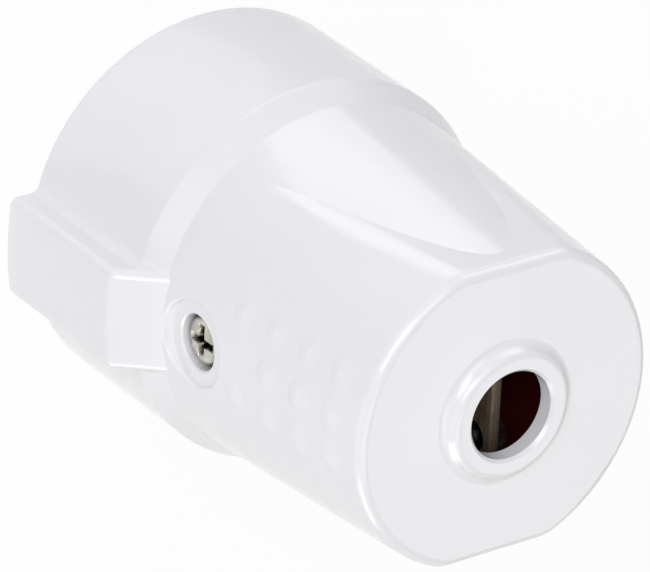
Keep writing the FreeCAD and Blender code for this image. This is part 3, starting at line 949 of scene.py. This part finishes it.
@dataclass
class CordClamp:
    """Hood, bar and screws that hold the cord on its saddle, in millimetres.

    Attributes:
        head_radius: Radius of a clamp screw's head.
        head_height: Height of that head.
        shank_radius: Outer radius of that screw's thread.
    """

    head_radius: float = 2.7
    head_height: float = 1.9
    shank_radius: float = 1.5

    def build(self) -> None:
        """Dress the hood and model the bar and its two screws."""
        dress("cord_hood", BASE_PHENOLIC)
        ClampBar().build()
        for side in ("left", "right"):
            Screw(
                "cord_clamp_screw_" + side,
                "screw_zinc",
                ZINC_SCREW,
                Vector((0, 1, 0)),
                self.head_radius,
                self.head_height,
                self.shank_radius,
            ).build()


@dataclass
class SocketEnd:
    """Socket face with its centre screw, earth clips and the strip behind them, in millimetres.

    Attributes:
        head_radius: Radius of the centre screw's head.
        head_height: Height of that head.
        shank_radius: Outer radius of that screw's thread.
    """

    head_radius: float = 2.9
    head_height: float = 1.4
    shank_radius: float = 1.5

    def build(self) -> None:
        """Dress the face and the earth path and model the face screw."""
        dress("socket_face", FACE_ABS)
        for side in ("front", "rear"):
            dress("earth_clip_" + side, NICKEL_STRIP)
            dress("earth_rivet_" + side, TURNED_BRASS)
        dress("earth_bridge", TURNED_BRASS)
        Screw(
            "face_screw",
            "screw_nickel",
            NICKEL_SCREW,
            Vector((0, 0, -1)),
            self.head_radius,
            self.head_height,
            self.shank_radius,
            form=HeadForm.COUNTERSUNK,
        ).build()


@dataclass
class ContactCarrier:
    """Dark base with the pole contacts, their springs and the terminal screws, in millimetres.

    Attributes:
        head_radius: Radius of a terminal screw's head.
        head_height: Height of that head.
        shank_radius: Outer radius of that screw's thread.
        pitch: Pitch of that thread.
    """

    head_radius: float = 2.0
    head_height: float = 1.3
    shank_radius: float = 1.25
    pitch: float = 0.45

    def build(self) -> None:
        """Dress the base and contacts and model the terminal screws."""
        dress("contact_base", BASE_PHENOLIC)
        dress("earth_post", TURNED_BRASS)
        for pole in ("line", "neutral"):
            dress(pole + "_contact", TURNED_BRASS)
            dress(pole + "_contact_spring", SPRING_STEEL)
        for pole in ("line", "neutral", "earth"):
            Screw(
                pole + "_terminal_screw",
                "screw_zinc",
                ZINC_SCREW,
                Vector((0, 1, 0)),
                self.head_radius,
                self.head_height,
                self.shank_radius,
                form=HeadForm.CHEESE,
                drive=Drive.SLOT,
                pitch=self.pitch,
            ).build()


@dataclass(frozen=True)
class CameraView:
    """Camera at the viewing angle of the picture.

    Attributes:
        place_mm: Where it stands.
        aim_mm: Point that it looks at.
        roll_deg: Roll about its line of sight.
        lens_mm: Focal length.
        nearest_m: Distance at which its view starts.
    """

    place_mm: tuple[float, float, float] = (-237.9, -269.4, 408.3)
    aim_mm: tuple[float, float, float] = (-1.24, -1.84, 27.94)
    roll_deg: float = 125.46
    lens_mm: float = 259.8
    nearest_m: float = 0.01

    def build(self) -> bpy.types.Object:
        """Set up the camera.

        Returns:
            The camera, already the scene's own.
        """
        data = bpy.data.cameras.new("camera")
        data.lens = self.lens_mm
        data.clip_start = self.nearest_m
        camera = bpy.data.objects.new("camera", data)
        bpy.context.scene.collection.objects.link(camera)
        place = Vector(self.place_mm) * MM
        aim = Vector(self.aim_mm) * MM
        roll = Quaternion(Z_AXIS, math.radians(self.roll_deg))
        camera.location = place
        camera.rotation_mode = "QUATERNION"
        camera.rotation_quaternion = (aim - place).to_track_quat("-Z", "Y") @ roll
        bpy.context.scene.camera = camera
        return camera


@dataclass
class SoftBox:
    """Square area lamp that faces a point on the object.

    Attributes:
        name: Name of the lamp.
        azimuth: Direction that it stands in, in degrees from -Y towards +X.
        elevation: Height of that direction above the floor, in degrees.
        power: Radiant power, in watts.
        colour: Colour as sRGB hex.
        distance: Distance from the target, in metres.
        side: Length of its side, in metres.
    """

    name: str
    azimuth: float
    elevation: float
    power: float
    colour: str = "#FFFFFF"
    distance: float = 0.8
    side: float = 0.42

    def build(self, target: Vector) -> bpy.types.Object:
        """Hang the lamp and turn it towards the target.

        Args:
            target: Point that the lamp faces.

        Returns:
            The lamp.
        """
        data = bpy.data.lights.new(self.name, "AREA")
        data.shape = "SQUARE"
        data.size = self.side
        data.energy = self.power
        data.color = linear(self.colour)[:3]
        lamp = bpy.data.objects.new(self.name, data)
        bpy.context.scene.collection.objects.link(lamp)
        turn, rise = math.radians(self.azimuth), math.radians(self.elevation)
        back = Vector((math.sin(turn) * math.cos(rise), -math.cos(turn) * math.cos(rise), math.sin(rise)))
        lamp.location = target + back * self.distance
        lamp.rotation_mode = "QUATERNION"
        lamp.rotation_quaternion = (-back).to_track_quat("-Z", "Y")
        return lamp


@dataclass
class LightPanel:
    """Low panel beside the sleeve that draws a clear-edged sheen on the nose and the barrel.

    The panels lie side by side along one line on the floor. The barrel mirrors its near end and the nose
    mirrors its far end.

    Attributes:
        name: Name of the panel.
        along_mm: Where it starts and ends along the line.
        across_mm: Where it starts and ends away from the line.
        glow: Brightness of its face, where 1 is white.
        start_mm: Start of the line, on the floor.
        heading_deg: Direction of the line, from +X towards +Y.
        lift_mm: Height above the floor.
    """

    name: str
    along_mm: tuple[float, float]
    across_mm: tuple[float, float]
    glow: float
    start_mm: tuple[float, float] = (-26.0, 3.9)
    heading_deg: float = 133.34
    lift_mm: float = 0.5

    def build(self) -> bpy.types.Object:
        """Lay the panel just above the floor, face up, seen in reflections alone.

        Returns:
            The panel.
        """
        heading = math.radians(self.heading_deg)
        along = Vector((math.cos(heading), math.sin(heading), 0))
        across = Z_AXIS.cross(along)
        start = Vector((*self.start_mm, self.lift_mm))
        middle = start + along * sum(self.along_mm) / 2 + across * sum(self.across_mm) / 2
        data = bpy.data.lights.new(self.name, "AREA")
        data.shape = "RECTANGLE"
        data.size = (self.along_mm[1] - self.along_mm[0]) * MM
        data.size_y = (self.across_mm[1] - self.across_mm[0]) * MM
        data.energy = self.glow * math.pi * data.size * data.size_y
        panel = bpy.data.objects.new(self.name, data)
        bpy.context.scene.collection.objects.link(panel)
        turn = Matrix((along, -across, -Z_AXIS)).transposed().to_4x4()
        panel.matrix_world = Matrix.Translation(middle * MM) @ turn
        panel.visible_camera = False
        panel.visible_diffuse = False
        return panel


@dataclass
class Studio:
    """Pale floor, soft lamps, plain surroundings and the camera.

    Attributes:
        floor_half: Half the width of the floor, in metres.
        floor_colour: Colour of the floor, as sRGB hex.
        floor_glow: Share of plain white that the floor shows to the camera and in reflections.
        sky: Strength of the light from all round.
        lamps: Soft boxes that stand round the object.
        panels: Panels that only reflections show.
        view: Camera at the angle of the picture.
    """

    floor_half: float = 3.0
    floor_colour: str = "#F0F0F0"
    floor_glow: float = 0.94
    sky: float = 0.1
    lamps: list[SoftBox] = field(
        default_factory=lambda: [
            SoftBox("key_soft_box", 324.0, 38.0, 2.85, "#F6F6FF"),
            SoftBox("high_soft_box", 300.0, 62.0, 1.42),
            SoftBox("top_soft_box", 60.0, 62.0, 1.0),
            SoftBox("low_soft_box", 60.0, 12.0, 1.88),
            SoftBox("back_soft_box", 144.0, 38.0, 1.0),
            SoftBox("rim_soft_box", 240.0, 12.0, 1.5, "#F6F6FF"),
            SoftBox("front_soft_box", 330.0, 12.0, 0.35, "#F6F6FF"),
        ]
    )
    panels: list[LightPanel] = field(
        default_factory=lambda: [
            LightPanel("barrel_panel", (-30.0, 8.0), (4.0, 30.0), 0.4),
            LightPanel("crest_inner_panel", (20.0, 125.0), (0.0, 14.0), 1.2),
            LightPanel("crest_outer_panel", (8.0, 125.0), (14.0, 50.0), 1.75),
        ]
    )
    view: CameraView = CameraView()

    def floor(self) -> bpy.types.Object:
        """Lay the floor under the socket rim.

        Returns:
            The floor.
        """
        clear_selection()
        bpy.ops.mesh.primitive_plane_add(size=2 * self.floor_half)
        floor = bpy.context.object
        floor.name = "floor"
        floor.data.materials.append(self.floor_material())
        return floor

    def seen_directly(self, tree: Tree) -> Socket:
        """Tell rays of the camera and of clear reflections from those that only carry light.

        Args:
            tree: Node tree of the floor or of the surroundings.

        Returns:
            Socket that is 1 for what the camera sees directly, mirrored or through glass.
        """
        path = add_node(tree, "ShaderNodeLightPath").outputs
        mirrored = calculate(tree, "MAXIMUM", path["Is Glossy Ray"], path["Is Transmission Ray"])
        return calculate(tree, "MAXIMUM", path["Is Camera Ray"], mirrored)

    def floor_material(self) -> bpy.types.Material:
        """Make the matt floor that reads as white behind the object and still takes its shadow.

        Returns:
            The floor's material.
        """
        made = bpy.data.materials.new("matt_paper_floor")
        made.use_nodes = True
        tree = made.node_tree
        tree.nodes.clear()
        paper = add_node(tree, "ShaderNodeBsdfDiffuse", {"Color": linear(self.floor_colour)})
        white = add_node(tree, "ShaderNodeEmission", {"Strength": 1.0})
        share = calculate(tree, "MULTIPLY", self.seen_directly(tree), self.floor_glow)
        layers = {0: share, 1: paper.outputs[0], 2: white.outputs[0]}
        mixed = add_node(tree, "ShaderNodeMixShader", layers)
        add_node(tree, "ShaderNodeOutputMaterial", {"Surface": mixed.outputs[0]})
        return made

    def surroundings(self) -> None:
        """Light the room evenly and show it as white to the camera and in reflections."""
        world = bpy.data.worlds.new("plain_room")
        bpy.context.scene.world = world
        world.use_nodes = True
        tree = world.node_tree
        tree.nodes.clear()
        limits = {"Value": self.seen_directly(tree), "To Min": self.sky, "To Max": 1.0}
        strength = add_node(tree, "ShaderNodeMapRange", limits).outputs["Result"]
        white = {"Color": linear("#FFFFFF"), "Strength": strength}
        light = add_node(tree, "ShaderNodeBackground", white)
        add_node(tree, "ShaderNodeOutputWorld", {"Surface": light.outputs[0]})

    def build(self) -> None:
        """Set up the whole studio."""
        bpy.context.scene.view_settings.view_transform = "Standard"
        low, high = CAD_BOX
        self.floor()
        self.surroundings()
        for lamp in self.lamps:
            lamp.build((low + high) / 2)
        for panel in self.panels:
            panel.build()
        self.view.build()


def main() -> None:
    """Dress the connector, model its fine pieces and set up the studio around it."""
    logging.basicConfig(level=logging.INFO, format="%(message)s")
    for assembly in (Sleeve(), CordClamp(), SocketEnd(), ContactCarrier(), Studio()):
        assembly.build()
        LOG.info("finished %s", type(assembly).__name__)


if __name__ == "__main__":
    main()
